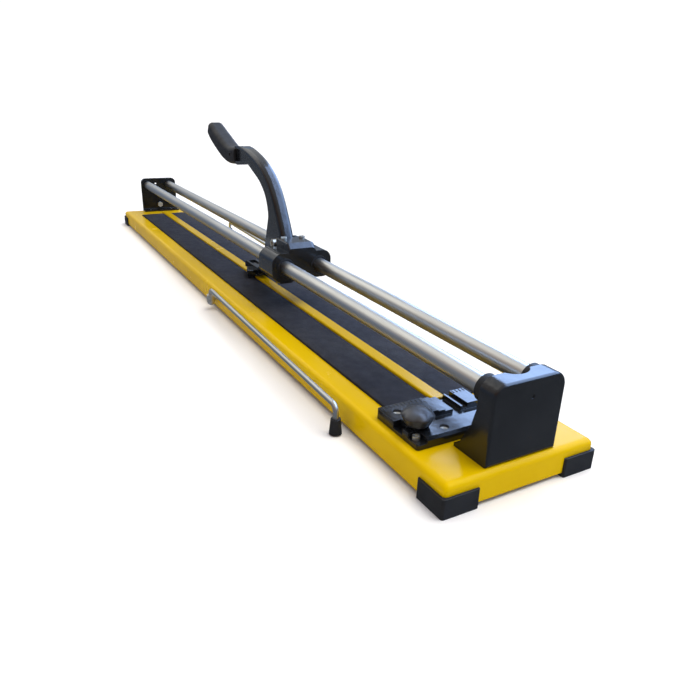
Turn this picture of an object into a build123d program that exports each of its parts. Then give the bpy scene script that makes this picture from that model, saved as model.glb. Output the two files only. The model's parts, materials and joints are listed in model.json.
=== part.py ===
from build123d import *
import os

# Manual tile cutter. Millimetres, +Z up. +X runs along the rails towards the gauge end, and -Y is
# the left side. The origin is the middle of the footprint, on the surface the feet stand on.

# ---- driving dimensions ----
DECK_LENGTH = 1530
DECK_WIDTH = 200
DECK_TOP = 36
DECK_SKIRT = 31
SHEET = 2
DECK_EDGE_R = 7
DECK_CORNER_R = 4
FOOT_WALL = 3
FOOT_CORNER_R = 3
FOOT_SOLE = 4.9
FOOT_HEIGHT = 23
FOOT_REACH_X = 43
FOOT_REACH_Y = 45

RAIL_R = 11
RAIL_WALL = 2
RAIL_Y = 30
RAIL_Z = DECK_TOP + 72

PAD_THICK = 4
RIDGE_WIDTH = 18.8
RIDGE_HEIGHT = 6
PAD_OUTER_Y = 69
PAD_FAR_X = -680
GAUGE_FAR_X = 622
GAUGE_NEAR_X = 702

NEAR_FACE_X = 759
FAR_FACE_X = -755
FAR_THICK = 4
BOSS_R = 17
BOSS_FAR_X = 736.5
BUFFER_R = 15
BUFFER_LENGTH = 9.4

SLEEVE_FAR_X = 182
SLEEVE_NEAR_X = 240
BUSH_OUT_R = 15
BUSH_LENGTH = 20
WIPER_THICK = 1.9
CROWN_TOP = DECK_TOP + 110
ADJUSTER_X = 200
ADJUSTER_Y = 16.5
PIVOT_X = 172
PIVOT_Z = DECK_TOP + 97
LEVER_HALF = 12
LEVER_EDGE_R = 8
EAR_Y = 18
PIVOT_HEAD_R = 7.8
SLOT_HALF = 12.5
FOOT_PIN_X = 88
FOOT_PIN_Z = 68
FOOT_WING_LOW = 44.3
WHEEL_X = 128
WHEEL_Z = DECK_TOP + 23
WHEEL_R = 11
HUB_BORE_R = 6
HOLDER_R = 5
HOLDER_SCREW_Z = DECK_TOP + 46
SLEEVE_ROUND = 14
GRIP_SCREW = (-60, DECK_TOP + 221)
GRIP_ROUND = 10
# grip sections from the neck to the free end: x, height of the centre over the deck, rise per
# length, width, height
GRIP_SECTIONS = [
    (-42, 220, 0.0, 28, 31),
    (-62, 218.5, 0.10, 32, 31.5),
    (-92, 221, 0.22, 34, 32),
    (-122, 230.5, 0.36, 34.5, 32.5),
    (-152, 242, 0.40, 34.5, 32),
    (-178, 253, 0.44, 33.5, 31),
    (-196, 261.5, 0.48, 31, 28),
]

KNOB_X = 674.5
KNOB_Y = -70
KNOB_R = 18.3
KNOB_RIM = 10.2
KNOB_HEIGHT = 17.4
WASHER_THICK = 0.9
STOP_HEAD = 1.2
GROOVE_X = 665
GROOVE_WIDTH = 18
GROOVE_DEPTH = 8
GAUGE_THICK = 12
TICK_STEP = 5

ARM_WIRE_R = 3.5
ARM_REACH = 498
ARM_Z = 37
ARM_Y = 110
LEFT_ARM_X = 82
LEFT_ARM_SWING = 0.8
RIGHT_ARM_X = -5
RIGHT_ARM_SWING = 2.0
EYE_Z = 20.5
EYE_HALF = 6.5

FIT = 0.05          # radial clearance of a running fit
GAP = 0.1           # radial clearance of a fixed fastener in its hole
SNUG = 0.02         # radial clearance of a part pressed home

BRACKET_BOLT_X = 735
BRACKET_BOLT_Y = 41
LOCK_SCREW_X = 747
FLANGE_BOLT_X = -743
FLANGE_BOLT_Y = 30
STOP_BOLT_Z = DECK_TOP + 17
GAUGE_SCREWS = [(639, -72), (689, -45)]
CORNER_BOLT = (689, -81)

# fasteners: shank radius, width across flats, head height, nut height
LARGE_R = 4
LARGE_FLATS = 13
LARGE_HEAD = 5.5
LARGE_NUT = 5
MEDIUM_R = 3
MEDIUM_FLATS = 10
MEDIUM_HEAD = 4
SMALL_R = 2.5


# ---- helpers ----
def rod(x, y, z, r, length, axis="Z"):
    """Solid cylinder that starts at a point and runs along an axis."""
    turn = {"X": Rot(0, 90, 0), "Y": Rot(-90, 0, 0), "Z": Rot(0, 0, 0)}[axis]
    base = (Align.CENTER, Align.CENTER, Align.MIN)
    return Pos(x, y, z) * turn * Cylinder(r, length, align=base)


def ring(x, y, z, r_out, r_in, length, axis="Z"):
    """Tube that starts at a point and runs along an axis."""
    return rod(x, y, z, r_out, length, axis) - rod(x, y, z, r_in, length, axis)


def block(x0, x1, y0, y1, z0, z1):
    """Box between two corners."""
    return Pos((x0 + x1) / 2, (y0 + y1) / 2, (z0 + z1) / 2) * Box(x1 - x0, y1 - y0, z1 - z0)


def hexagon(x, y, z, across, height, axis="Z"):
    """Hexagonal prism that starts at a point and runs along an axis."""
    turn = {"X": Rot(0, 90, 0), "Y": Rot(-90, 0, 0), "Z": Rot(0, 0, 0)}[axis]
    prism = extrude(RegularPolygon(across / 2, 6, major_radius=False), height)
    return Pos(x, y, z) * turn * prism


def side_plate(points, y0, y1):
    """Outline in X and Z, given thickness from y0 to y1."""
    face = make_face(Polyline(*[(x, 0, z) for x, z in points], close=True).edges())
    return Pos(0, y0, 0) * extrude(face, y1 - y0, dir=(0, 1, 0))


def end_plate(points, x0, x1):
    """Outline in Y and Z, given thickness from x0 to x1."""
    face = make_face(Polyline(*[(0, y, z) for y, z in points], close=True).edges())
    return Pos(x0, 0, 0) * extrude(face, x1 - x0, dir=(1, 0, 0))


def plan_plate(points, z0, z1):
    """Outline in X and Y, given thickness from z0 to z1."""
    face = make_face(Polyline(*[(x, y, 0) for x, y in points], close=True).edges())
    return Pos(0, 0, z0) * extrude(face, z1 - z0)


def both_sides(shape):
    """A shape and its mirror image across the middle plane."""
    return shape + mirror(shape, Plane.XZ)


def socket_screw(x, y, z, head_r, head_height, shank_r, shank_length):
    """Socket head cap screw, head up, seated at z, with its shank below."""
    head = rod(x, y, z, head_r, head_height)
    head -= hexagon(x, y, z + head_height * 0.45, head_r, head_height)
    return head + rod(x, y, z - shank_length, shank_r, shank_length)


def save(shape, node):
    export_step(shape, "parts/" + node + ".step")


# ---- base ----
def deck_envelope(offset, z0, z1, corner_r=DECK_CORNER_R):
    """Solid of the deck's plan shape, grown by an offset, between two heights."""
    length = DECK_LENGTH + 2 * offset
    width = DECK_WIDTH + 2 * offset
    plan = RectangleRounded(length, width, max(corner_r + min(offset, 0), 1))
    return Pos(0, 0, z0) * extrude(plan, z1 - z0)


def deck():
    """Folded tray with rounded top edges, open underneath."""
    outer = deck_envelope(0, DECK_TOP - DECK_SKIRT, DECK_TOP)
    outer = fillet(outer.faces().sort_by(Axis.Z)[-1].edges(), DECK_EDGE_R)
    inner = deck_envelope(-SHEET, DECK_TOP - DECK_SKIRT, DECK_TOP - SHEET)
    inner = fillet(inner.faces().sort_by(Axis.Z)[-1].edges(), DECK_EDGE_R - SHEET)
    tray = outer - inner
    hole_z = DECK_TOP - SHEET - 1
    for side in (-1, 1):
        tray -= rod(BRACKET_BOLT_X, side * BRACKET_BOLT_Y, hole_z, LARGE_R + GAP, SHEET + 2)
        tray -= rod(FLANGE_BOLT_X, side * FLANGE_BOLT_Y, hole_z, MEDIUM_R + GAP, SHEET + 2)
    for x, y in GAUGE_SCREWS:
        tray -= rod(x, y, hole_z, SMALL_R + GAP, SHEET + 2)
    for x, side in ((LEFT_ARM_X, -1), (RIGHT_ARM_X, 1)):
        skirt_middle = side * (DECK_WIDTH - SHEET) / 2
        tray -= rod(x, skirt_middle - SHEET, EYE_Z, LARGE_R + GAP, 2 * SHEET, "Y")
    return tray


def deck_stiffener():
    """Hat-section channel welded under the tray."""
    top = DECK_TOP - SHEET
    low = top - 22
    outer = [(-30, top), (-30, low), (30, low), (30, top)]
    channel = end_plate(outer, -600, 600)
    channel -= block(-601, 601, -28, 28, low + 2, top + 1)
    return channel


def breaker_ridge():
    """Raised strip that the tile snaps over."""
    strip = block(PAD_FAR_X - 14, GAUGE_FAR_X - 0.5, -RIDGE_WIDTH / 2, RIDGE_WIDTH / 2,
                  DECK_TOP, DECK_TOP + RIDGE_HEIGHT)
    long_top = strip.faces().sort_by(Axis.Z)[-1].edges().filter_by(Axis.X)
    return fillet(long_top, 2.5)


def foam_pad(side):
    """Soft pad beside the ridge; side is -1 for left and 1 for right."""
    low, high = sorted((side * (RIDGE_WIDTH / 2 + 0.3), side * PAD_OUTER_Y))
    return block(PAD_FAR_X, GAUGE_FAR_X - 0.5, low, high, DECK_TOP, DECK_TOP + PAD_THICK)


def corner_foot(end, side):
    """Rubber foot wrapped around one corner of the skirt."""
    half_length = DECK_LENGTH / 2 + FOOT_WALL
    half_width = DECK_WIDTH / 2 + FOOT_WALL
    keep = block(half_length - FOOT_REACH_X, half_length, half_width - FOOT_REACH_Y, half_width,
                 0, FOOT_HEIGHT)
    outer = deck_envelope(FOOT_WALL, 0, FOOT_HEIGHT, FOOT_CORNER_R) & keep
    ends = outer.edges().filter_by(Axis.Z).sort_by_distance((0, 0, 0))[1:3]
    outer = fillet(ends, 2)
    lip = deck_envelope(-SHEET - GAP, FOOT_SOLE, 16) - deck_envelope(-SHEET - 3, FOOT_SOLE, 16)
    foot = outer - deck_envelope(GAP, FOOT_SOLE, FOOT_HEIGHT + 1)
    foot -= deck_envelope(-14, -1, FOOT_SOLE + 1)
    foot += lip & keep
    if end < 0:
        foot = mirror(foot, Plane.YZ)
    if side < 0:
        foot = mirror(foot, Plane.XZ)
    return foot


def near_bracket():
    """Cast end bracket: a thick head with two rail bores, on a flared foot that is hollow underneath."""
    top = RAIL_Z + BOSS_R
    half = RAIL_Y + BOSS_R
    front = [(-half, DECK_TOP), (half, DECK_TOP), (half, top), (-half, top)]
    head = end_plate(front, BOSS_FAR_X, NEAR_FACE_X)
    head = fillet(head.edges().filter_by(Axis.X).group_by(Axis.Z)[-1], BOSS_R - 0.5)
    head = fillet(head.faces().sort_by(Axis.X)[-1].edges(), 3)
    head -= rod(BOSS_FAR_X - 9.2, 0, RAIL_Z - 6, 18.7, 40)
    rear = [(749, 0), (709, 0), (709, 4), (716.5, 8), (721, 17), (731.5, 36), (735.5, 52), (BOSS_FAR_X, 55),
            (749, 55)]
    body = head + side_plate([(x, DECK_TOP + height) for x, height in rear], -half, half)
    hollow = [(721, -1), (752, -1), (752, 49), (743, 49), (733, 28), (723, 9)]
    body -= side_plate([(x, DECK_TOP + height) for x, height in hollow], -34, 34)
    bore = rod(726, RAIL_Y, RAIL_Z, RAIL_R + GAP, 28, "X")
    bolt_hole = rod(BRACKET_BOLT_X, BRACKET_BOLT_Y, DECK_TOP - 1, LARGE_R + GAP, 21)
    lock_hole = rod(LOCK_SCREW_X, RAIL_Y, RAIL_Z - 25, MEDIUM_R + GAP, 20)
    body -= both_sides(bore + bolt_hole + lock_hole)
    body -= rod(NEAR_FACE_X - 1, 3, DECK_TOP + 69, 2.3, 3, "X")
    return body


def bracket_bolts():
    """Hexagon bolts that hold the near bracket from under the tray."""
    under = DECK_TOP - SHEET
    bolt = hexagon(BRACKET_BOLT_X, BRACKET_BOLT_Y, under - 1.5 - LARGE_HEAD, LARGE_FLATS, LARGE_HEAD)
    bolt += rod(BRACKET_BOLT_X, BRACKET_BOLT_Y, under - 1.5, 2 * LARGE_R, 1.5)
    bolt += rod(BRACKET_BOLT_X, BRACKET_BOLT_Y, under - 0.5, LARGE_R, 20.5)
    return both_sides(bolt)


def rail_lock_screws():
    """Set screws that press up on the rails inside the near bracket."""
    return both_sides(rod(LOCK_SCREW_X, RAIL_Y, RAIL_Z - RAIL_R - 12.2, MEDIUM_R, 12))


def far_bracket():
    """Folded plate with rounded top corners and a flange that points inwards."""
    thick = FAR_THICK
    half = 49
    top = DECK_TOP + 91.6
    outline = [(-half, DECK_TOP), (half, DECK_TOP), (half, top), (-half, top)]
    plate = end_plate(outline, FAR_FACE_X - thick, FAR_FACE_X)
    plate = fillet(plate.edges().filter_by(Axis.X).group_by(Axis.Z)[-1], 13)
    flange = block(FAR_FACE_X - thick, FAR_FACE_X + 22, -half, half, DECK_TOP, DECK_TOP + thick)
    body = plate + flange
    inner_bend = body.edges().filter_by(Axis.Y).sort_by_distance((FAR_FACE_X, 0, DECK_TOP + thick))[0]
    body = fillet(inner_bend, 3)
    outside = FAR_FACE_X - thick - 1
    body -= both_sides(rod(FLANGE_BOLT_X, FLANGE_BOLT_Y, DECK_TOP - 1, MEDIUM_R + GAP, thick + 2))
    body -= both_sides(rod(outside, RAIL_Y, RAIL_Z, LARGE_R + GAP, thick + 2, "X"))
    body -= rod(outside, 0, STOP_BOLT_Z, LARGE_R + GAP, thick + 2, "X")
    body -= rod(outside, -8, DECK_TOP + 76.5, SMALL_R, thick + 2, "X")
    return body


def flange_bolts():
    """Bolts from under the tray, screwed into the far bracket's flange."""
    under = DECK_TOP - SHEET
    bolt = hexagon(FLANGE_BOLT_X, FLANGE_BOLT_Y, under - MEDIUM_HEAD, MEDIUM_FLATS, MEDIUM_HEAD)
    bolt += rod(FLANGE_BOLT_X, FLANGE_BOLT_Y, under - 1, MEDIUM_R, SHEET + FAR_THICK + 0.5)
    return both_sides(bolt)


def stop_bolt():
    """Bolt and nut through the middle of the far bracket, where the carriage would stop."""
    head = hexagon(FAR_FACE_X, 0, STOP_BOLT_Z, LARGE_FLATS, LARGE_HEAD, "X")
    shank = rod(FAR_FACE_X - 5.8, 0, STOP_BOLT_Z, LARGE_R, 6.5, "X")
    nut = hexagon(FAR_FACE_X - FAR_THICK - LARGE_NUT, 0, STOP_BOLT_Z, LARGE_FLATS, LARGE_NUT, "X")
    return head + shank + nut


def rail(side):
    """Steel tube from the far bracket to the near bracket's bore."""
    return ring(FAR_FACE_X, side * RAIL_Y, RAIL_Z, RAIL_R, RAIL_R - RAIL_WALL,
                753 - FAR_FACE_X, "X")


def rail_plugs():
    """Threaded plugs fixed in the far ends of the rails."""
    return both_sides(ring(FAR_FACE_X, RAIL_Y, RAIL_Z, RAIL_R - RAIL_WALL - FIT, LARGE_R, 24, "X"))


def rail_bolts():
    """Bolts with washers that hold the rails to the far bracket."""
    outside = FAR_FACE_X - FAR_THICK
    bolt = hexagon(outside - 6.5, RAIL_Y, RAIL_Z, LARGE_FLATS, LARGE_NUT, "X")
    bolt += rod(outside - 1.5, RAIL_Y, RAIL_Z, 2 * LARGE_R, 1.5, "X")
    bolt += rod(outside - 2, RAIL_Y, RAIL_Z, LARGE_R - FIT, 24, "X")
    return both_sides(bolt)


def rail_buffers():
    """Rubber rings on the rails, against the near bracket."""
    start = BOSS_FAR_X - 0.1 - BUFFER_LENGTH
    return both_sides(ring(start, RAIL_Y, RAIL_Z, BUFFER_R, RAIL_R + GAP, BUFFER_LENGTH, "X"))


# ---- carriage ----
def sleeve_left():
    """Faceted housing around the left rail, as an outline in Y and Z."""
    y, z = -RAIL_Y, RAIL_Z
    outline = [(y - 24, z - 14), (y - 24, z + 13), (y - 13, z + 24), (-SLOT_HALF, z + 24),
               (-SLOT_HALF, z - 22), (y + 9, z - 26), (y - 10, z - 26)]
    return end_plate(outline, SLEEVE_FAR_X, SLEEVE_NEAR_X)


def sleeve_right():
    """Rounded housing around the right rail."""
    y, z = RAIL_Y, RAIL_Z
    outline = [(SLOT_HALF, z - 21), (y + 21, z - 21), (y + 21, z + 24), (SLOT_HALF, z + 24)]
    body = end_plate(outline, SLEEVE_FAR_X, SLEEVE_NEAR_X)
    outer = body.edges().filter_by(Axis.X).group_by(Axis.Y)[-1]
    return fillet(outer, 15)


def carriage_crown():
    """Block between the sleeves, with a sloped near edge and a rounded right shoulder."""
    top = CROWN_TOP
    body = side_plate([(190, RAIL_Z), (SLEEVE_NEAR_X, RAIL_Z), (SLEEVE_NEAR_X, top - 8),
                       (SLEEVE_NEAR_X - 8, top), (190, top)], -25, 25)
    rims = body.edges().filter_by(GeomType.LINE).filter_by(lambda e: e.center().Z > top - 6)
    body = fillet(rims.filter_by(lambda e: e.center().Y > 24), 9)
    rims = body.edges().filter_by(GeomType.LINE).filter_by(lambda e: e.center().Z > top - 6)
    return fillet(rims.filter_by(lambda e: e.center().Y < -24), 3)


def carriage_body():
    """Casting: two sleeves, the block between them and the clevis for the lever."""
    top = CROWN_TOP
    left = sleeve_left()
    outer_edges = left.edges().filter_by(Axis.X).filter_by(lambda e: e.center().Y < -RAIL_Y - 12)
    left = fillet(outer_edges, SLEEVE_ROUND)
    wall = block(222, SLEEVE_NEAR_X, -SLOT_HALF - 1, SLOT_HALF + 1, RAIL_Z - 21, RAIL_Z + 10)
    ear = side_plate([(PIVOT_X, PIVOT_Z - 11), (194, PIVOT_Z - 24), (194, top - 1),
                      (PIVOT_X, PIVOT_Z + 11)], SLOT_HALF, EAR_Y)
    ear += rod(PIVOT_X, SLOT_HALF, PIVOT_Z, 11, EAR_Y - SLOT_HALF, "Y")
    body = left + sleeve_right() + carriage_crown() + wall + both_sides(ear)
    body -= block(150, 191, -SLOT_HALF, SLOT_HALF, RAIL_Z - 30, top + 1)
    body -= both_sides(rod(SLEEVE_FAR_X - 1, RAIL_Y, RAIL_Z, BUSH_OUT_R + SNUG, 60, "X"))
    body -= rod(PIVOT_X, -30, PIVOT_Z, LARGE_R + FIT, 60, "Y")
    body -= both_sides(rod(ADJUSTER_X, ADJUSTER_Y, top - 20, MEDIUM_R + GAP, 21))
    return body


def carriage_bushes():
    """Plain bushes at both ends of each sleeve."""
    far = ring(SLEEVE_FAR_X + 2, RAIL_Y, RAIL_Z, BUSH_OUT_R, RAIL_R + FIT, BUSH_LENGTH, "X")
    near_x = SLEEVE_NEAR_X - 2 - BUSH_LENGTH
    near = ring(near_x, RAIL_Y, RAIL_Z, BUSH_OUT_R, RAIL_R + FIT, BUSH_LENGTH, "X")
    return both_sides(far + near)


def rail_wipers():
    """Rubber wiper rings in the mouths of the sleeves."""
    out_r = BUSH_OUT_R - GAP
    in_r = RAIL_R + GAP
    far = ring(SLEEVE_FAR_X, RAIL_Y, RAIL_Z, out_r, in_r, WIPER_THICK, "X")
    near = ring(SLEEVE_NEAR_X - WIPER_THICK, RAIL_Y, RAIL_Z, out_r, in_r, WIPER_THICK, "X")
    return both_sides(far + near)


def adjusting_screws():
    """Two low socket screws in the top of the block."""
    return both_sides(socket_screw(ADJUSTER_X, ADJUSTER_Y, CROWN_TOP, 5, 3, MEDIUM_R, 19))


def pivot_bolt():
    """Socket head bolt that the lever tips on."""
    outside = -EAR_Y - 8
    head = rod(PIVOT_X, outside, PIVOT_Z, PIVOT_HEAD_R, 8, "Y")
    head -= hexagon(PIVOT_X, outside - 1, PIVOT_Z, 8, 5, "Y")
    return head + rod(PIVOT_X, -EAR_Y - 1, PIVOT_Z, LARGE_R, 2 * EAR_Y + 10, "Y")


def pivot_nut():
    """Nut on the pivot bolt's far end."""
    nut = hexagon(PIVOT_X, EAR_Y, PIVOT_Z, LARGE_FLATS, 6.5, "Y")
    return nut - rod(PIVOT_X, EAR_Y - 1, PIVOT_Z, LARGE_R + FIT, 9, "Y")


# ---- lever ----
def lever_outline():
    """Closed outline of the lever in X and Z."""
    z = DECK_TOP
    front = Spline((186, 0, z + 99), (176, 0, z + 118), (163, 0, z + 140), (140, 0, z + 174),
                   (102, 0, z + 207), (60, 0, z + 226), (17, 0, z + 237))
    crest = Polyline((17, 0, z + 237), (-20, 0, z + 239), (-40, 0, z + 237.5))
    end = Line((-40, 0, z + 237.5), (-40, 0, z + 205.5))
    chin = Polyline((-40, 0, z + 205.5), (-28, 0, z + 204.5), (18, 0, z + 210))
    rear = Spline((18, 0, z + 210), (60, 0, z + 193), (100, 0, z + 168), (115, 0, z + 136),
                  (110, 0, z + 104), (101, 0, z + 70))
    toe = Polyline((101, 0, z + 70), (95, 0, z + 52), (82, 0, z + 40), (82, 0, z + 24),
                   (96, 0, z + 26), (104, 0, z + 36), (142, 0, z + 36), (146, 0, z + 52),
                   (168, 0, z + 82), (186, 0, z + 92), (186, 0, z + 99))
    return make_face(Wire([*front.edges(), *crest.edges(), *end.edges(), *chin.edges(),
                           *rear.edges(), *toe.edges()]))


def tang_outline(grow):
    """Outline of the tongue inside the grip, in X and Z, grown all round."""
    z = DECK_TOP
    return [(-38 + grow, z + 229 + grow), (-95, z + 230 + grow), (-150 - grow, z + 245 + grow),
            (-150 - grow, z + 236 - grow), (-92, z + 217 - grow), (-38 + grow, z + 212 - grow)]


def lever_arm():
    """Cast lever: hub, curved arm with a tongue for the grip, and the lower limb."""
    body = Pos(0, -LEVER_HALF, 0) * extrude(lever_outline(), 2 * LEVER_HALF, dir=(0, 1, 0))
    body = fillet(body.edges().filter_by(GeomType.BSPLINE), LEVER_EDGE_R)
    pocket = side_plate([(20, DECK_TOP + 216), (20, DECK_TOP + 232), (-41, DECK_TOP + 234),
                         (-41, DECK_TOP + 210)], 7, LEVER_HALF + 1)
    body -= both_sides(pocket)
    body += side_plate(tang_outline(0), -8, 8)
    body -= both_sides(block(70, 102, 5, 20, FOOT_PIN_Z - 12, FOOT_PIN_Z + 11))
    body -= rod(PIVOT_X, -20, PIVOT_Z, HUB_BORE_R + SNUG, 40, "Y")
    body -= rod(FOOT_PIN_X, -20, FOOT_PIN_Z, MEDIUM_R + GAP, 40, "Y")
    body -= rod(WHEEL_X, 0, DECK_TOP + 34, HOLDER_R + GAP, 24)
    body -= rod(WHEEL_X, -LEVER_HALF - 1, HOLDER_SCREW_Z, SMALL_R + GAP, 10, "Y")
    return body


def pivot_bush():
    """Bush in the lever's hub."""
    return ring(PIVOT_X, -LEVER_HALF, PIVOT_Z, HUB_BORE_R, LARGE_R + FIT, 2 * LEVER_HALF, "Y")


def grip():
    """Rounded hand grip over the tongue, swept up to a blunt free end."""
    sections = []
    for x, height, rise, width, deep in GRIP_SECTIONS:
        station = Plane(origin=(x, 0, DECK_TOP + height), x_dir=(0, 1, 0), z_dir=(-1, 0, rise))
        sections.append(station * RectangleRounded(width, deep, GRIP_ROUND))
    body = loft(sections)
    ends = body.faces().sort_by(Axis.X)
    body = fillet(ends[0].edges(), 7)
    body = chamfer(body.faces().sort_by(Axis.X)[-1].edges(), 1)
    body -= side_plate(tang_outline(GAP), -8 - GAP, 8 + GAP)
    x, z = GRIP_SCREW
    body -= rod(x, -20, z, 3.2, 9, "Y")
    body -= rod(x, -12, z, 2 + GAP, 5, "Y")
    return body


def grip_screw():
    """Screw that holds the grip to the tongue."""
    x, z = GRIP_SCREW
    return rod(x, -13.5, z, 3, 2.5, "Y") + rod(x, -11.5, z, 2, 3.4, "Y")


def wheel_holder():
    """Round shank with a fork for the scoring wheel."""
    shank = rod(WHEEL_X, 0, WHEEL_Z + 10, HOLDER_R, 24)
    fork = block(WHEEL_X - 5, WHEEL_X + 5, -5, 5, WHEEL_Z - 4, WHEEL_Z + 12.5)
    slot = block(WHEEL_X - 12, WHEEL_X + 12, -1.7, 1.7, WHEEL_Z - 5, WHEEL_Z + WHEEL_R + 1)
    return shank + fork - slot - rod(WHEEL_X, -6, WHEEL_Z, 2 + FIT, 12, "Y")


def wheel_axle():
    """Pin across the fork, with a head on the left."""
    return rod(WHEEL_X, -5, WHEEL_Z, 2, 10.5, "Y") + rod(WHEEL_X, -6.5, WHEEL_Z, 3.2, 1.5, "Y")


def holder_screw():
    """Set screw that locks the wheel holder."""
    return rod(WHEEL_X, -LEVER_HALF, HOLDER_SCREW_Z, SMALL_R, 6.8, "Y")


def scoring_wheel():
    """Cutting wheel with a sharp rim, on its axle."""
    half = 1.5
    rim = [(2 + FIT, -half), (8, -half), (WHEEL_R, 0), (8, half), (2 + FIT, half)]
    face = make_face(Polyline(*[(r, 0, w) for r, w in rim], close=True).edges())
    disc = revolve(face, Axis.Z)
    return Pos(WHEEL_X, 0, WHEEL_Z) * Rot(90, 0, 0) * disc


def foot_pin():
    """Pin that the breaker foot rocks on."""
    return rod(FOOT_PIN_X, -11.5, FOOT_PIN_Z, MEDIUM_R, 23, "Y")


# ---- breaker foot ----
def breaker_foot():
    """Casting with two swept wings and a hollow-topped beam, hung from a clevis."""
    beam = side_plate([(66, 48), (-5, 50), (-5, 58), (2, 62), (66, 62)], -11, 11)
    beam -= block(2, 36, -7, 7, 59, 63)
    neck = side_plate([(62, 50), (FOOT_PIN_X + 2, FOOT_PIN_Z - 8), (FOOT_PIN_X, FOOT_PIN_Z + 8), (62, 62)],
                      5.4, 11)
    neck += rod(FOOT_PIN_X, 5.4, FOOT_PIN_Z, 8, 5.6, "Y")
    wings = plan_plate([(50, -26), (50, 26), (17, 16), (17, -16)], FOOT_WING_LOW, 55)
    wings = fillet(wings.faces().sort_by(Axis.Z)[-1].edges(), 1.5)
    body = beam + both_sides(neck) + wings
    body -= block(0, 60, -10.5, 10.5, 40, 46.5)
    body -= rod(FOOT_PIN_X, -20, FOOT_PIN_Z, MEDIUM_R + FIT, 40, "Y")
    return body


def foot_pads():
    """Rubber soles under the wings."""
    outline = [(49, 12), (49, 25), (19, 16), (19, 12)]
    return both_sides(plan_plate(outline, DECK_TOP + PAD_THICK + 0.3, FOOT_WING_LOW))


# ---- gauge ----
def gauge_plate():
    """Casting with a ruler edge, a cross groove and a stepped relief over the scoring line."""
    top = DECK_TOP + GAUGE_THICK
    outline = [(GAUGE_FAR_X, -88), (GAUGE_NEAR_X, -88), (GAUGE_NEAR_X, 33), (GAUGE_FAR_X, 33)]
    body = plan_plate(outline, DECK_TOP, top)
    near_edge = body.faces().sort_by(Axis.X)[-1].edges().sort_by(Axis.Z)[-1]
    body = chamfer(near_edge, 3)
    left_edges = body.edges().filter_by(Axis.Z).group_by(Axis.Y)[0]
    body = fillet(left_edges, 3)
    half = GROOVE_WIDTH / 2
    body -= block(GROOVE_X - half, GROOVE_X + half, -90, 40, top - GROOVE_DEPTH, top + 1)
    for y0, y1, depth in ((-28, -18, 1.5), (-18, -7, 3.5), (-7, 4, 8), (4, 7, 2.5), (7, 13, 6)):
        body -= block(GAUGE_FAR_X - 1, GROOVE_X - half + 0.5, y0, y1, top - depth, top + 1)
    body -= block(CORNER_BOLT[0] - 5, GAUGE_NEAR_X + 1, -89, CORNER_BOLT[1] + 5.5, top - 6, top + 1)
    for x, y in GAUGE_SCREWS:
        body -= rod(x, y, DECK_TOP - 1, SMALL_R + GAP, 20) + rod(x, y, top - 5.5, 5.2, 10)
    body -= rod(*CORNER_BOLT, DECK_TOP - 1, MEDIUM_R + GAP, 20)
    return body


def gauge_ticks():
    """Raised ruler lines along the far edge of the gauge plate."""
    top = DECK_TOP + GAUGE_THICK
    start = GAUGE_FAR_X + 1
    left = [-83 + TICK_STEP * i for i in range(11)]
    right = [15.5 + TICK_STEP * i for i in range(4)]
    ticks = []
    for y in left + right:
        length = 9 if y in left[::5] else 5.5
        ticks.append(block(start, start + length, y - 0.5, y + 0.5, top, top + 0.5))
    return Compound(children=ticks)


def gauge_screws():
    """Socket screws that hold the gauge plate down, with nuts under the tray."""
    screws = []
    under = DECK_TOP - SHEET
    for x, y in GAUGE_SCREWS:
        screw = socket_screw(x, y, DECK_TOP + GAUGE_THICK - 5.5, 4.8, 2.6, SMALL_R, 14)
        screws.append(screw + hexagon(x, y, under - 4.5, 8, 4.5))
    return Compound(children=screws)


def corner_bolt():
    """Socket screw in the corner pocket of the gauge plate."""
    x, y = CORNER_BOLT
    seat = DECK_TOP + GAUGE_THICK - 6
    return socket_screw(x, y, seat, 4.3, 4.6, MEDIUM_R, 5.8)


def sliding_stop():
    """Block that slides in the cross groove, with the stud for the knob."""
    top = DECK_TOP + GAUGE_THICK
    low = top - GROOVE_DEPTH + FIT
    half = GROOVE_WIDTH / 2 - FIT
    shoe = block(GROOVE_X - half, GROOVE_X + half, KNOB_Y - 9, KNOB_Y + 26, low, top - 0.5)
    cap = block(GROOVE_X - half, KNOB_X + 9, KNOB_Y - 9, KNOB_Y + 9, top + GAP, top + STOP_HEAD)
    web = block(GROOVE_X - half, GROOVE_X + half, KNOB_Y - 9, KNOB_Y + 9, low, top + STOP_HEAD)
    return shoe + web + cap + rod(KNOB_X, KNOB_Y, top, MEDIUM_R, 12)


def knob_washer():
    """Washer between the sliding stop and the knob."""
    return ring(KNOB_X, KNOB_Y, DECK_TOP + GAUGE_THICK + STOP_HEAD, 8, MEDIUM_R + GAP, WASHER_THICK)


def clamp_knob():
    """Domed knob with a lobed rim and a skirt that narrows downwards."""
    z = DECK_TOP + GAUGE_THICK + STOP_HEAD + WASHER_THICK + 0.1
    rim = KNOB_RIM
    dome = Spline((KNOB_R, rim), (KNOB_R - 0.9, rim + 2.4), (12, KNOB_HEIGHT - 1.6), (0, KNOB_HEIGHT),
                  tangents=((0, 1), (-1, 0)))
    outline = Polyline((0, 0), (11.5, 0), (12.8, 1.2), (17.2, rim - 2.4), (KNOB_R, rim))
    stem = Line((0, KNOB_HEIGHT), (0, 0))
    profile = make_face(Wire([*outline.edges(), *dome.edges(), *stem.edges()]))
    body = revolve(Plane.XZ * profile, Axis.Z)
    for i in range(6):
        body -= Rot(0, 0, 60 * i + 20) * rod(KNOB_R + 7, 0, -1, 8, KNOB_HEIGHT + 2)
    body = Pos(KNOB_X, KNOB_Y, z) * body
    return body - rod(KNOB_X, KNOB_Y, z - 1, MEDIUM_R + FIT, 11.5)


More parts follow.
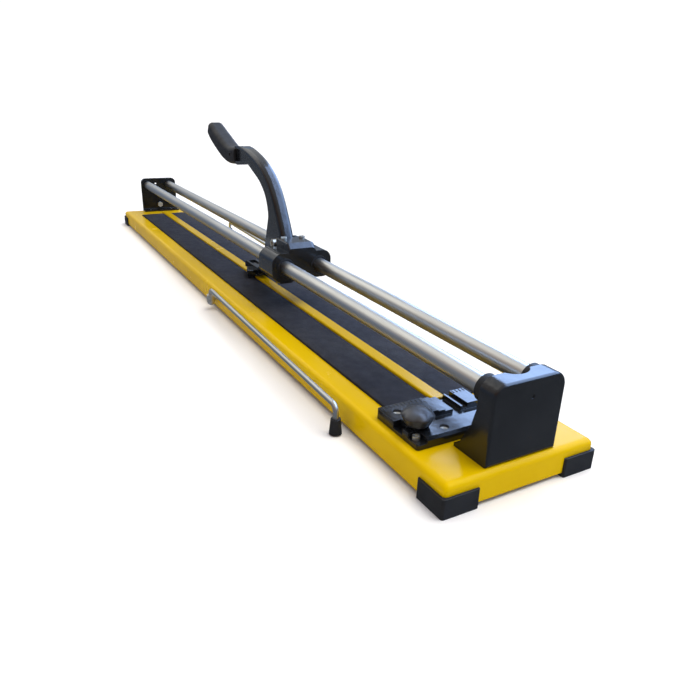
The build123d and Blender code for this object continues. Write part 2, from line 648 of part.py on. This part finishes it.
# ---- support arms ----
def place_arm(shape, left):
    """Put an arm piece, drawn with its pivot on the Z axis, at its pivot on the deck's side."""
    if left:
        return Pos(LEFT_ARM_X, -ARM_Y, 0) * Rot(0, 0, -LEFT_ARM_SWING) * shape
    return Pos(RIGHT_ARM_X, ARM_Y, 0) * Rot(0, 0, 180 - RIGHT_ARM_SWING) * shape


def arm_wire():
    """Wire with an upright leg at its pivot and another at its free end."""
    path = FilletPolyline((0, 0, 9), (0, 0, ARM_Z), (ARM_REACH, 0, ARM_Z), (ARM_REACH, 0, 5.2), radius=9)
    return sweep(Plane.XY * Pos(0, 0, 9) * Circle(ARM_WIRE_R), path)


def arm_rings():
    """Two rings on the wire, above and below the eye."""
    low = ring(0, 0, EYE_Z - EYE_HALF - 3.1, 6, ARM_WIRE_R + SNUG, 2.8)
    high = ring(0, 0, EYE_Z + EYE_HALF + 0.1, 5.5, ARM_WIRE_R + SNUG, 1)
    return low + high


def arm_tip():
    """Tapered rubber tip on the wire's free end."""
    base = (Align.CENTER, Align.CENTER, Align.MIN)
    cone = Pos(ARM_REACH, 0, 1.5) * Cone(7.8, 6.1, 19, align=base)
    return cone - rod(ARM_REACH, 0, 5, ARM_WIRE_R + SNUG, 20)


def eye_bolt(left):
    """Eye for the arm, with a shank through the deck's skirt."""
    bore = rod(0, 0, EYE_Z - EYE_HALF, ARM_WIRE_R + FIT, 2 * EYE_HALF)
    body = rod(0, 0, EYE_Z - EYE_HALF, 7, 2 * EYE_HALF) + rod(0, 6, EYE_Z, LARGE_R, 12, "Y") - bore
    if left:
        return Pos(LEFT_ARM_X, -ARM_Y, 0) * body
    return Pos(RIGHT_ARM_X, ARM_Y, 0) * Rot(0, 0, 180) * body


def eye_nuts():
    """Nuts on the eye bolts, inside the skirt."""
    inside = DECK_WIDTH / 2 - SHEET
    nuts = []
    for x, y in ((LEFT_ARM_X, -inside), (RIGHT_ARM_X, inside - LARGE_NUT)):
        nut = hexagon(x, y, EYE_Z, LARGE_FLATS, LARGE_NUT, "Y")
        nuts.append(nut - rod(x, y - 1, EYE_Z, LARGE_R + GAP, LARGE_NUT + 2, "Y"))
    return Compound(children=nuts)


# ---- write the nodes ----
os.makedirs("parts", exist_ok=True)

NODES = {
    "deck": deck(),
    "deck_stiffener": deck_stiffener(),
    "breaker_ridge": breaker_ridge(),
    "foam_pad_left": foam_pad(-1),
    "foam_pad_right": foam_pad(1),
    "near_bracket": near_bracket(),
    "near_bracket_bolts": bracket_bolts(),
    "rail_lock_screws": rail_lock_screws(),
    "far_bracket": far_bracket(),
    "flange_bolts": flange_bolts(),
    "stop_bolt": stop_bolt(),
    "rail_left": rail(-1),
    "rail_right": rail(1),
    "rail_plugs": rail_plugs(),
    "rail_bolts": rail_bolts(),
    "rail_buffers": rail_buffers(),
    "carriage_body": carriage_body(),
    "carriage_bushes": carriage_bushes(),
    "rail_wipers": rail_wipers(),
    "adjusting_screws": adjusting_screws(),
    "pivot_bolt": pivot_bolt(),
    "pivot_nut": pivot_nut(),
    "lever_arm": lever_arm(),
    "pivot_bush": pivot_bush(),
    "grip": grip(),
    "grip_screw": grip_screw(),
    "wheel_holder": wheel_holder(),
    "wheel_axle": wheel_axle(),
    "holder_screw": holder_screw(),
    "scoring_wheel": scoring_wheel(),
    "foot_pin": foot_pin(),
    "breaker_foot": breaker_foot(),
    "foot_pads": foot_pads(),
    "gauge_plate": gauge_plate() + gauge_ticks(),
    "gauge_screws": gauge_screws(),
    "corner_bolt": corner_bolt(),
    "sliding_stop": sliding_stop(),
    "knob_washer": knob_washer(),
    "clamp_knob": clamp_knob(),
    "eye_nuts": eye_nuts(),
}
for end, end_name in ((1, "near"), (-1, "far")):
    for side, side_name in ((-1, "left"), (1, "right")):
        NODES["corner_foot_" + end_name + "_" + side_name] = corner_foot(end, side)
for is_left, side_name in ((True, "left"), (False, "right")):
    NODES["support_arm_" + side_name] = place_arm(arm_wire(), is_left)
    NODES["arm_rings_" + side_name] = place_arm(arm_rings(), is_left)
    NODES["arm_tip_" + side_name] = place_arm(arm_tip(), is_left)
    NODES["eye_bolt_" + side_name] = eye_bolt(is_left)

for node, shape in NODES.items():
    save(shape, node)
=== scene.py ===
import json
import math

import bmesh
import bpy
from mathutils import Matrix, Vector, noise


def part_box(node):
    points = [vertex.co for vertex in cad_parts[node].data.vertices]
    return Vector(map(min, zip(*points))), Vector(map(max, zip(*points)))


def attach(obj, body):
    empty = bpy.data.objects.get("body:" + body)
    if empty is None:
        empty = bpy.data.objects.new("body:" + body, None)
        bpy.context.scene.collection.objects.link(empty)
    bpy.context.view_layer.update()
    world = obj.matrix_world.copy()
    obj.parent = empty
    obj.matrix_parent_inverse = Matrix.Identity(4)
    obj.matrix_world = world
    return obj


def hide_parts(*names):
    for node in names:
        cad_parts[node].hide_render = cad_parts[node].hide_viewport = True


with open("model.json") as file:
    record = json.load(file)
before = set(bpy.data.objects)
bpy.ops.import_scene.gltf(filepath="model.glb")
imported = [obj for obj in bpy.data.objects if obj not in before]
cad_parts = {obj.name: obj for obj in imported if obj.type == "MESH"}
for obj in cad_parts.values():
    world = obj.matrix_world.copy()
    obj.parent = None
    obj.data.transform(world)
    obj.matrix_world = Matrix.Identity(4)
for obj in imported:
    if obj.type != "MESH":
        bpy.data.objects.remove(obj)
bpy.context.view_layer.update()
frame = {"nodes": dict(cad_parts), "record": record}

RECORD = frame["record"]
MM = 0.001


# ---- camera ----
CAMERA_AT = Vector((1.1374, -0.4218, 0.3696))
CAMERA_LOOK = Vector((-0.80130, 0.46111, -0.38117))
CAMERA_UP = Vector((-0.34788, 0.15923, 0.92392))
CAMERA_LENS = 31.76
SENSOR = 36.0


def add_camera():
    """Camera at the viewing angle of the product view, with no shift and no depth of field."""
    data = bpy.data.cameras.new("camera")
    data.lens = CAMERA_LENS
    data.sensor_width = SENSOR
    camera = bpy.data.objects.new("camera", data)
    back = -CAMERA_LOOK.normalized()
    right = CAMERA_UP.cross(back).normalized()
    up = back.cross(right)
    turn = Matrix((right, up, back)).transposed()
    camera.matrix_world = Matrix.Translation(CAMERA_AT) @ turn.to_4x4()
    bpy.context.scene.collection.objects.link(camera)
    bpy.context.scene.camera = camera


# ---- material helpers ----
ROUNDING_SAMPLES = 4
FLAT_LEAN = 0.995
EDGE_LEAN = 0.86
NOISE_LOW = 0.3
NOISE_HIGH = 0.7


class Finish:
    """One procedural material: a Principled shader with helpers for the nodes that feed it."""

    def __init__(self, name, colour, roughness, metallic=0.0, specular=0.5):
        self.material = bpy.data.materials.new(name)
        self.material.use_nodes = True
        self.tree = self.material.node_tree
        self.shader = self.tree.nodes["Principled BSDF"]
        self.shader.inputs["Base Color"].default_value = (*colour, 1)
        self.shader.inputs["Roughness"].default_value = roughness
        self.shader.inputs["Metallic"].default_value = metallic
        self.shader.inputs["Specular IOR Level"].default_value = specular
        self.height = None

    def node(self, kind, **values):
        made = self.tree.nodes.new(kind)
        for key, value in values.items():
            setattr(made, key, value)
        return made

    def link(self, source, target):
        self.tree.links.new(source, target)

    def place(self, stretch=(1, 1, 1)):
        """Object coordinates in metres, stretched along the axes."""
        coords = self.node("ShaderNodeTexCoord")
        mapping = self.node("ShaderNodeMapping")
        mapping.inputs["Scale"].default_value = stretch
        self.link(coords.outputs["Object"], mapping.inputs["Vector"])
        return mapping.outputs["Vector"]

    def noise(self, scale, detail, stretch=(1, 1, 1)):
        """Fractal noise, with scale in cells per metre."""
        texture = self.node("ShaderNodeTexNoise")
        texture.inputs["Scale"].default_value = scale
        texture.inputs["Detail"].default_value = detail
        self.link(self.place(stretch), texture.inputs["Vector"])
        return texture.outputs["Fac"]

    def cells(self, scale):
        """Distance to the nearest cell centre, with scale in cells per metre."""
        texture = self.node("ShaderNodeTexVoronoi")
        texture.inputs["Scale"].default_value = scale
        self.link(self.place(), texture.inputs["Vector"])
        return texture.outputs["Distance"]

    def remap(self, value, low=NOISE_LOW, high=NOISE_HIGH, to_low=0.0, to_high=1.0):
        """The value, stretched so that low and high become to_low and to_high, and kept between them."""
        mapper = self.node("ShaderNodeMapRange")
        mapper.inputs["From Min"].default_value = low
        mapper.inputs["From Max"].default_value = high
        mapper.inputs["To Min"].default_value = to_low
        mapper.inputs["To Max"].default_value = to_high
        self.link(value, mapper.inputs["Value"])
        return mapper.outputs["Result"]

    def combine(self, operation, first, second):
        """One Math node, where first is a socket and second is a socket or a number."""
        made = self.node("ShaderNodeMath", operation=operation)
        self.link(first, made.inputs[0])
        if isinstance(second, (int, float)):
            made.inputs[1].default_value = second
        else:
            self.link(second, made.inputs[1])
        return made.outputs[0]

    def multiply(self, first, second):
        return self.combine("MULTIPLY", first, second)

    def edges(self, radius):
        """0 on open faces and up to 1 along edges, from how far a rounded normal leans away."""
        geometry = self.node("ShaderNodeNewGeometry")
        lean = self.node("ShaderNodeVectorMath", operation="DOT_PRODUCT")
        self.link(self.rounded_normal(radius), lean.inputs[0])
        self.link(geometry.outputs["Normal"], lean.inputs[1])
        return self.remap(lean.outputs["Value"], FLAT_LEAN, EDGE_LEAN)

    def rounded_normal(self, radius):
        """The surface's direction, as if every edge had this radius."""
        rounded = self.node("ShaderNodeBevel", samples=ROUNDING_SAMPLES)
        rounded.inputs["Radius"].default_value = radius
        return rounded.outputs["Normal"]

    def tint(self, factor, first, second):
        """Base colour that goes from first, a colour or a socket, to second with factor."""
        mixer = self.node("ShaderNodeMix", data_type="RGBA")
        if isinstance(first, tuple):
            mixer.inputs["A"].default_value = (*first, 1)
        else:
            self.link(first, mixer.inputs["A"])
        mixer.inputs["B"].default_value = (*second, 1)
        self.link(factor, mixer.inputs["Factor"])
        result = mixer.outputs["Result"]
        self.link(result, self.shader.inputs["Base Color"])
        return result

    def roughness(self, value, smooth, rough):
        """Roughness that follows a noise from smooth to rough."""
        spread = self.remap(value, to_low=smooth, to_high=rough)
        self.link(spread, self.shader.inputs["Roughness"])

    def bump(self, value, depth):
        """Adds a height, in metres, to the surface."""
        scaled = self.multiply(value, depth)
        self.height = scaled if self.height is None else self.combine("ADD", self.height, scaled)

    def done(self, round_edges=0.0):
        """Joins the summed height and the rounded edges to the shader's normal."""
        normal = self.rounded_normal(round_edges) if round_edges else None
        if self.height is not None:
            relief = self.node("ShaderNodeBump")
            relief.inputs["Distance"].default_value = 1.0
            self.link(self.height, relief.inputs["Height"])
            if normal is not None:
                self.link(normal, relief.inputs["Normal"])
            normal = relief.outputs["Normal"]
        if normal is not None:
            self.link(normal, self.shader.inputs["Normal"])
        return self.material


# ---- the finishes ----
def yellow_paint():
    """Glossy powder coat: faint clouding, slight orange peel and hairline scratches along the bed."""
    finish = Finish("yellow_paint", (0.75, 0.495, 0.0), 0.22, specular=0.12)
    finish.shader.inputs["Specular Tint"].default_value = (1.0, 0.74, 0.22, 1)
    clouds = finish.remap(finish.noise(7, 4))
    paint = finish.tint(clouds, (0.73, 0.475, 0.0), (0.78, 0.515, 0.0))
    lines = finish.remap(finish.noise(260, 3, (0.02, 1, 1)), 0.70, 0.74)
    patches = finish.remap(finish.noise(6, 4), 0.50, 0.62)
    scratches = finish.multiply(finish.multiply(lines, patches), 0.35)
    finish.tint(scratches, paint, (0.46, 0.32, 0.03))
    finish.roughness(finish.noise(28, 6), 0.18, 0.28)
    finish.bump(finish.noise(420, 2), 0.03 * MM)
    finish.bump(finish.noise(30, 2), 0.03 * MM)
    return finish.done()


def bed_foam():
    """Closed-cell foam sheet: fine pores, a mottled skin and a little chalky wear."""
    finish = Finish("bed_foam", (0.022, 0.022, 0.028), 0.9, specular=0.18)
    mottle = finish.remap(finish.noise(26, 6))
    skin = finish.tint(mottle, (0.018, 0.018, 0.023), (0.029, 0.029, 0.036))
    patches = finish.remap(finish.noise(9, 6, (0.4, 1, 1)), 0.54, 0.70)
    specks = finish.remap(finish.noise(700, 3), 0.4, 0.6)
    scuffs = finish.multiply(finish.multiply(patches, specks), 0.35)
    finish.tint(scuffs, skin, (0.075, 0.073, 0.072))
    finish.roughness(finish.noise(80, 4), 0.80, 0.97)
    finish.bump(finish.cells(1500), 0.22 * MM)
    finish.bump(finish.noise(230, 5), 0.30 * MM)
    return finish.done()


def black_rubber():
    """Moulded rubber with a fine grain and dusty edges."""
    finish = Finish("black_rubber", (0.014, 0.0145, 0.016), 0.62, specular=0.3)
    mottle = finish.remap(finish.noise(30, 5))
    rubber = finish.tint(mottle, (0.011, 0.0115, 0.0125), (0.020, 0.0205, 0.022))
    dust = finish.multiply(finish.edges(1.5 * MM), 0.35)
    finish.tint(dust, rubber, (0.05, 0.05, 0.053))
    finish.roughness(finish.noise(60, 4), 0.50, 0.72)
    finish.bump(finish.noise(1400, 3), 0.10 * MM)
    return finish.done(0.9 * MM)


def black_casting():
    """Black enamel over a casting: gentle waviness, with slight wear at the edges."""
    finish = Finish("black_casting", (0.007, 0.008, 0.010), 0.20, specular=0.5)
    mottle = finish.remap(finish.noise(18, 5), 0.35, 0.7)
    enamel = finish.tint(mottle, (0.0055, 0.0065, 0.008), (0.010, 0.0115, 0.014))
    worn = finish.remap(finish.noise(140, 5), 0.50, 0.66)
    wear = finish.multiply(finish.multiply(finish.edges(0.7 * MM), worn), 0.5)
    finish.tint(wear, enamel, (0.07, 0.072, 0.08))
    finish.roughness(finish.noise(42, 5), 0.14, 0.26)
    finish.bump(finish.noise(90, 3), 0.25 * MM)
    finish.bump(finish.noise(900, 2), 0.03 * MM)
    return finish.done(0.8 * MM)


def rail_chrome():
    """Ground and plated tube: fine lengthwise lines, faint rings and smudges."""
    finish = Finish("rail_chrome", (0.54, 0.53, 0.49), 0.36, metallic=1.0)
    smudges = finish.remap(finish.noise(9, 5, (0.4, 3, 3)))
    finish.tint(smudges, (0.50, 0.49, 0.45), (0.58, 0.57, 0.53))
    finish.roughness(finish.noise(30, 6, (0.5, 6, 6)), 0.30, 0.42)
    finish.bump(finish.noise(900, 2, (0.02, 1, 1)), 0.03 * MM)
    finish.bump(finish.noise(500, 2, (1, 0.02, 0.02)), 0.01 * MM)
    return finish.done()


def zinc():
    """Zinc plated steel, slightly mottled and satin, with a fine grain."""
    finish = Finish("zinc", (0.68, 0.65, 0.55), 0.42, metallic=1.0)
    mottle = finish.remap(finish.noise(180, 5), 0.35, 0.68)
    finish.tint(mottle, (0.62, 0.58, 0.47), (0.84, 0.82, 0.74))
    finish.roughness(finish.noise(420, 4), 0.34, 0.50)
    finish.bump(finish.noise(1600, 3, (0.3, 1, 1)), 0.03 * MM)
    return finish.done(0.5 * MM)


def zinc_painted_lighter():
    """The same plating on screws deep in their holes: duller, and painted paler to lift them out of the
    shade there.
    """
    # paler base colour than zinc's: painted light that offsets the shade inside the screw holes
    finish = Finish("zinc_painted_lighter", (0.78, 0.79, 0.76), 0.7, metallic=0.6)
    mottle = finish.remap(finish.noise(260, 5), 0.35, 0.68)
    finish.tint(mottle, (0.66, 0.67, 0.62), (0.86, 0.87, 0.86))
    finish.roughness(finish.noise(500, 4), 0.60, 0.80)
    finish.bump(finish.noise(1600, 3), 0.03 * MM)
    return finish.done(0.4 * MM)


def tool_steel():
    """Ground hard steel, slightly mottled, with a fine grain."""
    finish = Finish("tool_steel", (0.40, 0.40, 0.42), 0.25, metallic=1.0)
    mottle = finish.remap(finish.noise(300, 5), 0.35, 0.68)
    finish.tint(mottle, (0.33, 0.33, 0.35), (0.50, 0.50, 0.51))
    finish.roughness(finish.noise(700, 4), 0.18, 0.34)
    finish.bump(finish.noise(2200, 2), 0.02 * MM)
    return finish.done(0.2 * MM)


def bush_brass():
    """Turned brass with a dull skin."""
    finish = Finish("bush_brass", (0.62, 0.42, 0.16), 0.32, metallic=1.0)
    mottle = finish.remap(finish.noise(160, 5), 0.35, 0.68)
    finish.tint(mottle, (0.50, 0.33, 0.12), (0.72, 0.52, 0.22))
    finish.roughness(finish.noise(500, 4), 0.26, 0.44)
    finish.bump(finish.noise(1500, 2, (4, 1, 1)), 0.03 * MM)
    return finish.done(0.4 * MM)


def grip_plastic():
    """Satin black moulding with a leather-like grain and paler edges."""
    finish = Finish("grip_plastic", (0.014, 0.014, 0.015), 0.5, specular=0.22)
    mottle = finish.remap(finish.noise(24, 5))
    plastic = finish.tint(mottle, (0.011, 0.011, 0.012), (0.019, 0.019, 0.020))
    rubbed = finish.multiply(finish.edges(1.0 * MM), 0.25)
    finish.tint(rubbed, plastic, (0.05, 0.05, 0.053))
    finish.roughness(finish.noise(70, 4), 0.42, 0.60)
    finish.bump(finish.cells(800), 0.10 * MM)
    finish.bump(finish.noise(1200, 2), 0.04 * MM)
    return finish.done(0.6 * MM)


def knob_plastic():
    """Glossier black moulding with a fine grain and a few scuffs."""
    finish = Finish("knob_plastic", (0.014, 0.0145, 0.016), 0.36, specular=0.9)
    mottle = finish.remap(finish.noise(60, 4))
    plastic = finish.tint(mottle, (0.011, 0.0115, 0.013), (0.019, 0.0195, 0.022))
    worn = finish.remap(finish.noise(180, 4), 0.45, 0.65)
    scuffs = finish.multiply(finish.multiply(finish.edges(1.2 * MM), worn), 0.5)
    finish.tint(scuffs, plastic, (0.06, 0.06, 0.065))
    finish.roughness(finish.noise(90, 4), 0.32, 0.48)
    finish.bump(finish.noise(1300, 2), 0.05 * MM)
    return finish.done(0.8 * MM)


FINISHES = {
    "yellow_paint": yellow_paint,
    "bed_foam": bed_foam,
    "black_rubber": black_rubber,
    "black_casting": black_casting,
    "rail_chrome": rail_chrome,
    "zinc": zinc,
    "tool_steel": tool_steel,
    "bush_brass": bush_brass,
    "grip_plastic": grip_plastic,
}


# ---- mesh helpers ----
def grid_faces(form, rows, closed):
    """Quads between rows of vertices; closed joins the end of each row to its start."""
    for low, high in zip(rows, rows[1:]):
        count = len(low)
        for i in range(count if closed else count - 1):
            j = (i + 1) % count
            form.faces.new((low[i], low[j], high[j], high[i]))


def finish_mesh(form, name, angle):
    """Mesh from a bmesh, shaded smooth except along edges sharper than the angle in degrees."""
    bmesh.ops.recalc_face_normals(form, faces=form.faces)
    mesh = bpy.data.meshes.new(name)
    form.to_mesh(mesh)
    form.free()
    mesh.shade_smooth()
    mesh.set_sharp_from_angle(angle=math.radians(angle))
    return mesh


def add_piece(name, mesh, body, material, node):
    """A finished piece that rides on a body and stands for a CAD node."""
    piece = bpy.data.objects.new(name, mesh)
    bpy.context.scene.collection.objects.link(piece)
    mesh.materials.append(material)
    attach(piece, body)
    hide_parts(node)
    return piece


# ---- foam pads ----
PAD_STEP = 6 * MM
PAD_ROUND = 1.3 * MM
PAD_ARC_STEPS = 4
PAD_ACROSS = 14
PAD_CROWN = 0.45 * MM
PAD_WAVE = 0.22 * MM
# cells of the noise: per metre along, then per metre across the top or per half width at the edges
PAD_TOP_CELLS = (14, 40)
PAD_EDGE_CELLS = (9, 3)
# the ends: over how long they rise, the part of the height that they start from, and how steeply
PAD_END_SPAN = 3 * PAD_ROUND
PAD_END_START = 0.35
PAD_END_POWER = 0.35
PAD_SHARP_ANGLE = 50
# starting points of the noise: the left pad's, how much further on the right pad's is, and how much
# further on each pad's edges are than its top
PAD_SEED = 3.0
PAD_SEED_STEP = 11
PAD_EDGE_SEED = 7


def pad_section(low, high):
    """Outline across the pad, as Y and the rise over its top: a flat between rounded shoulders."""
    turns = [math.pi / 2 * i / PAD_ARC_STEPS for i in range(PAD_ARC_STEPS + 1)]
    start = low.y + PAD_ROUND
    shoulder = [(start - PAD_ROUND * math.cos(turn), PAD_ROUND * (math.sin(turn) - 1)) for turn in turns]
    flat = high.y - low.y - 2 * PAD_ROUND
    top = [(start + flat * i / PAD_ACROSS, 0.0) for i in range(1, PAD_ACROSS)]
    other = [(low.y + high.y - y, rise) for y, rise in reversed(shoulder)]
    return shoulder + top + other


def foam_pad_mesh(name, low, high, seed):
    """Glued foam strip: die-cut edges that wander slightly and a top that is a little uneven."""
    form = bmesh.new()
    count = round((high.x - low.x) / PAD_STEP)
    middle = (low.y + high.y) / 2
    half = (high.y - low.y) / 2
    rows = []
    for i in range(count + 1):
        x = low.x + (high.x - low.x) * i / count
        end = min(1.0, min(x - low.x, high.x - x) / PAD_END_SPAN + PAD_END_START)
        row = []
        for y, rise in pad_section(low, high):
            side = (y - middle) / half
            wave = noise.noise((x * PAD_TOP_CELLS[0], y * PAD_TOP_CELLS[1], seed)) * PAD_WAVE
            edge = (x * PAD_EDGE_CELLS[0], side * PAD_EDGE_CELLS[1], seed + PAD_EDGE_SEED)
            wander = noise.noise(edge) * PAD_WAVE
            top = high.z - PAD_CROWN * side * side - PAD_WAVE + wave + rise
            z = low.z + (top - low.z) * end ** PAD_END_POWER
            row.append(form.verts.new((x, y - side * (PAD_WAVE - wander), z)))
        floor_low = form.verts.new((x, row[0].co.y, low.z))
        floor_high = form.verts.new((x, row[-1].co.y, low.z))
        rows.append([floor_low, *row, floor_high])
    grid_faces(form, rows, True)
    form.faces.new(rows[0])
    form.faces.new(list(reversed(rows[-1])))
    return finish_mesh(form, name, PAD_SHARP_ANGLE)


def add_foam_pads(material):
    for index, side in enumerate(("left", "right")):
        node = "foam_pad_" + side
        low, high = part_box(node)
        mesh = foam_pad_mesh(node + "_foam", low, high, PAD_SEED + PAD_SEED_STEP * index)
        pad = add_piece(node + "_foam", mesh, "base", material, node)


# ---- clamp knob ----
KNOB_LOBES = 6
KNOB_STEPS = 144
KNOB_LOBE_DEPTH = 0.085
KNOB_LOBE_POWER = 2.2
KNOB_TURN = 0.35
KNOB_SHARP_ANGLE = 40
# profile of the moulding, from the middle of the top over the rim and down the skirt to the underside:
# radius and height, as parts of the full ones, and how much of the lobes' depth shows there
KNOB_PROFILE = [
    (0.06, 1.000, 0.0), (0.20, 0.994, 0.0), (0.36, 0.976, 0.05), (0.52, 0.944, 0.12), (0.66, 0.896, 0.25),
    (0.78, 0.836, 0.45), (0.88, 0.768, 0.70), (0.945, 0.708, 0.90), (0.982, 0.662, 1.0), (0.998, 0.628, 1.0),
    (1.00, 0.600, 1.0), (0.985, 0.570, 1.0), (0.95, 0.520, 1.0), (0.90, 0.400, 1.0), (0.85, 0.280, 0.95),
    (0.80, 0.165, 0.9), (0.755, 0.080, 0.8), (0.72, 0.030, 0.7), (0.67, 0.008, 0.6), (0.62, 0.0, 0.4),
    (0.52, 0.0, 0.0), (0.20, 0.0, 0.0),
]


def knob_mesh(low, high):
    """Lobed knob: a shallow dome, a rounded rim, a tapering skirt and a flat underside."""
    form = bmesh.new()
    centre = (low + high) / 2
    radius = (high.x - low.x) / 2
    height = high.z - low.z
    rows = []
    for part, rise, lobed in KNOB_PROFILE:
        row = []
        for i in range(KNOB_STEPS):
            turn = 2 * math.pi * i / KNOB_STEPS
            dent = (0.5 + 0.5 * math.cos(KNOB_LOBES * turn)) ** KNOB_LOBE_POWER
            reach = radius * part * (1 - KNOB_LOBE_DEPTH * lobed * dent)
            x = centre.x + reach * math.cos(turn + KNOB_TURN)
            y = centre.y + reach * math.sin(turn + KNOB_TURN)
            row.append(form.verts.new((x, y, low.z + height * rise)))
        rows.append(row)
    grid_faces(form, rows, True)
    form.faces.new(rows[0])
    form.faces.new(list(reversed(rows[-1])))
    return finish_mesh(form, "clamp_knob_moulding", KNOB_SHARP_ANGLE)


def add_knob(material):
    mesh = knob_mesh(*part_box("clamp_knob"))
    add_piece("clamp_knob_moulding", mesh, "knob", material, "clamp_knob")


# ---- assembly ----
def paint_cad_nodes(materials):
    """Every CAD node takes the finish of its material slot, and the sunken screws a duller zinc painted
    paler against the shade in their holes.
    """
    # the gauge screws' zinc is painted lighter to make up for the shade in their holes
    own = {"gauge_screws": zinc_painted_lighter()}
    for part in RECORD["subparts"]:
        node = part["node"]
        mesh = frame["nodes"][node].data
        mesh.materials.clear()
        mesh.materials.append(own.get(node, materials[part["material_slot"]]))


# ---- stage ----
FLOOR_RADIUS = 40
FLOOR_SEGMENTS = 96
BACKDROP_FOOT = -1
BACKDROP_HEIGHT = 60
BACKDROP_GLOW = 1.05
SUN_POWER = 2.5
SUN_SPREAD = math.radians(50)
SUN_COLOUR = (1.0, 0.97, 0.90)
SUN_FROM = (0.10, 0.42, 1.0)
SKY_LEFT = (0.36, 0.17, 0.04)
SKY_RIGHT = (0.30, 0.42, 0.62)
SKY_FAR = (0.70, 0.72, 0.75)
SKY_TOP = (0.76, 0.77, 0.80)
SKY_LOW = (0.17, 0.25, 0.40)
SKY_UNDER = (0.20, 0.225, 0.27)


def add_floor():
    """Plain pale floor, not part of the object."""
    mesh = bpy.data.meshes.new("floor")
    form = bmesh.new()
    bmesh.ops.create_circle(form, cap_ends=True, segments=FLOOR_SEGMENTS, radius=FLOOR_RADIUS)
    form.to_mesh(mesh)
    form.free()
    floor = bpy.data.objects.new("floor", mesh)
    bpy.context.scene.collection.objects.link(floor)
    finish = Finish("floor", (0.93, 0.93, 0.94), 0.8, specular=0.1)
    finish.tint(finish.remap(finish.noise(2, 3)), (0.92, 0.92, 0.935), (0.95, 0.95, 0.965))
    mesh.materials.append(finish.done())
    floor.visible_glossy = False


def add_backdrop():
    """Plain white wall around the floor, behind everything, that lights nothing."""
    mesh = bpy.data.meshes.new("backdrop")
    form = bmesh.new()
    turns = [2 * math.pi * i / FLOOR_SEGMENTS for i in range(FLOOR_SEGMENTS)]
    around = [(FLOOR_RADIUS * math.cos(turn), FLOOR_RADIUS * math.sin(turn)) for turn in turns]
    rows = [[form.verts.new((x, y, z)) for x, y in around] for z in (BACKDROP_FOOT, BACKDROP_HEIGHT)]
    grid_faces(form, rows, True)
    form.to_mesh(mesh)
    form.free()
    wall = bpy.data.objects.new("backdrop", mesh)
    bpy.context.scene.collection.objects.link(wall)
    finish = Finish("backdrop", (0.0, 0.0, 0.0), 1.0, specular=0.0)
    finish.shader.inputs["Emission Color"].default_value = (1, 1, 1, 1)
    finish.shader.inputs["Emission Strength"].default_value = BACKDROP_GLOW
    mesh.materials.append(finish.done())
    wall.visible_diffuse = False
    wall.visible_glossy = False
    wall.visible_transmission = False
    wall.visible_shadow = False


def add_gloss_panel(name, at, size, facing, power, colour):
    """Rectangular panel of light that shows in glossy surfaces and adds nothing else."""
    data = bpy.data.lights.new(name, "AREA")
    data.shape = "RECTANGLE"
    data.size, data.size_y = size
    data.energy = power
    data.color = colour
    light = bpy.data.objects.new(name, data)
    light.location = at
    light.rotation_euler = Vector(facing).to_track_quat("-Z", "Y").to_euler()
    light.visible_diffuse = False
    bpy.context.scene.collection.objects.link(light)


def add_sun():
    """Broad warm light from above."""
    data = bpy.data.lights.new("overhead", "SUN")
    data.energy = SUN_POWER
    data.angle = SUN_SPREAD
    data.color = SUN_COLOUR
    light = bpy.data.objects.new("overhead", data)
    light.rotation_euler = Vector(SUN_FROM).to_track_quat("Z", "Y").to_euler()
    light.visible_glossy = False
    bpy.context.scene.collection.objects.link(light)


class Sky:
    """World colour, mixed from the parts of the direction."""

    def __init__(self):
        world = bpy.data.worlds.new("studio")
        bpy.context.scene.world = world
        world.use_nodes = True
        self.tree = world.node_tree
        coords = self.tree.nodes.new("ShaderNodeTexCoord")
        split = self.tree.nodes.new("ShaderNodeSeparateXYZ")
        self.tree.links.new(coords.outputs["Generated"], split.inputs[0])
        self.parts = split.outputs

    def blend(self, axis, low, high, first, second):
        """first where the direction's part is under low, and second where it is over high."""
        span = self.tree.nodes.new("ShaderNodeMapRange")
        span.inputs["From Min"].default_value = low
        span.inputs["From Max"].default_value = high
        self.tree.links.new(self.parts[axis], span.inputs["Value"])
        mixer = self.tree.nodes.new("ShaderNodeMix")
        mixer.data_type = "RGBA"
        self.tree.links.new(span.outputs["Result"], mixer.inputs["Factor"])
        for socket, colour in (("A", first), ("B", second)):
            if isinstance(colour, tuple):
                mixer.inputs[socket].default_value = (*colour, 1)
            else:
                self.tree.links.new(colour, mixer.inputs[socket])
        return mixer.outputs["Result"]

    def show(self, colour):
        self.tree.links.new(colour, self.tree.nodes["Background"].inputs["Color"])


def add_sky():
    """Cool and dim low down; above that warm at the left, cool at the right and bright at the far end."""
    sky = Sky()
    sides = sky.blend("Y", -0.35, 0.25, SKY_LEFT, SKY_RIGHT)
    around = sky.blend("X", -0.74, -0.52, SKY_FAR, sides)
    above = sky.blend("Z", 0.45, 0.85, around, SKY_TOP)
    low = sky.blend("Z", 0.16, 0.34, SKY_LOW, above)
    sky.show(sky.blend("Z", -0.05, 0.05, SKY_UNDER, low))


def light_stage():
    """Plain soft studio light: a sky, an overhead light and two panels for the gloss."""
    add_sky()
    add_sun()
    add_gloss_panel(
        "window", at=(0.95, 3.4, 5.0), size=(9.5, 7.4), facing=(0, -1, 0),
        power=1640, colour=(0.38, 0.57, 1.0),
    )
    add_gloss_panel(
        "card", at=(-2.8, -0.5, 2.6), size=(3.0, 2.0), facing=(3.0, 0.5, -2.5),
        power=16, colour=(1.0, 0.98, 0.92),
    )
    bpy.context.scene.view_settings.view_transform = "Standard"


add_camera()
materials = {slot: make() for slot, make in FINISHES.items()}
paint_cad_nodes(materials)
add_foam_pads(materials["bed_foam"])
add_knob(knob_plastic())
add_floor()
add_backdrop()
light_stage()
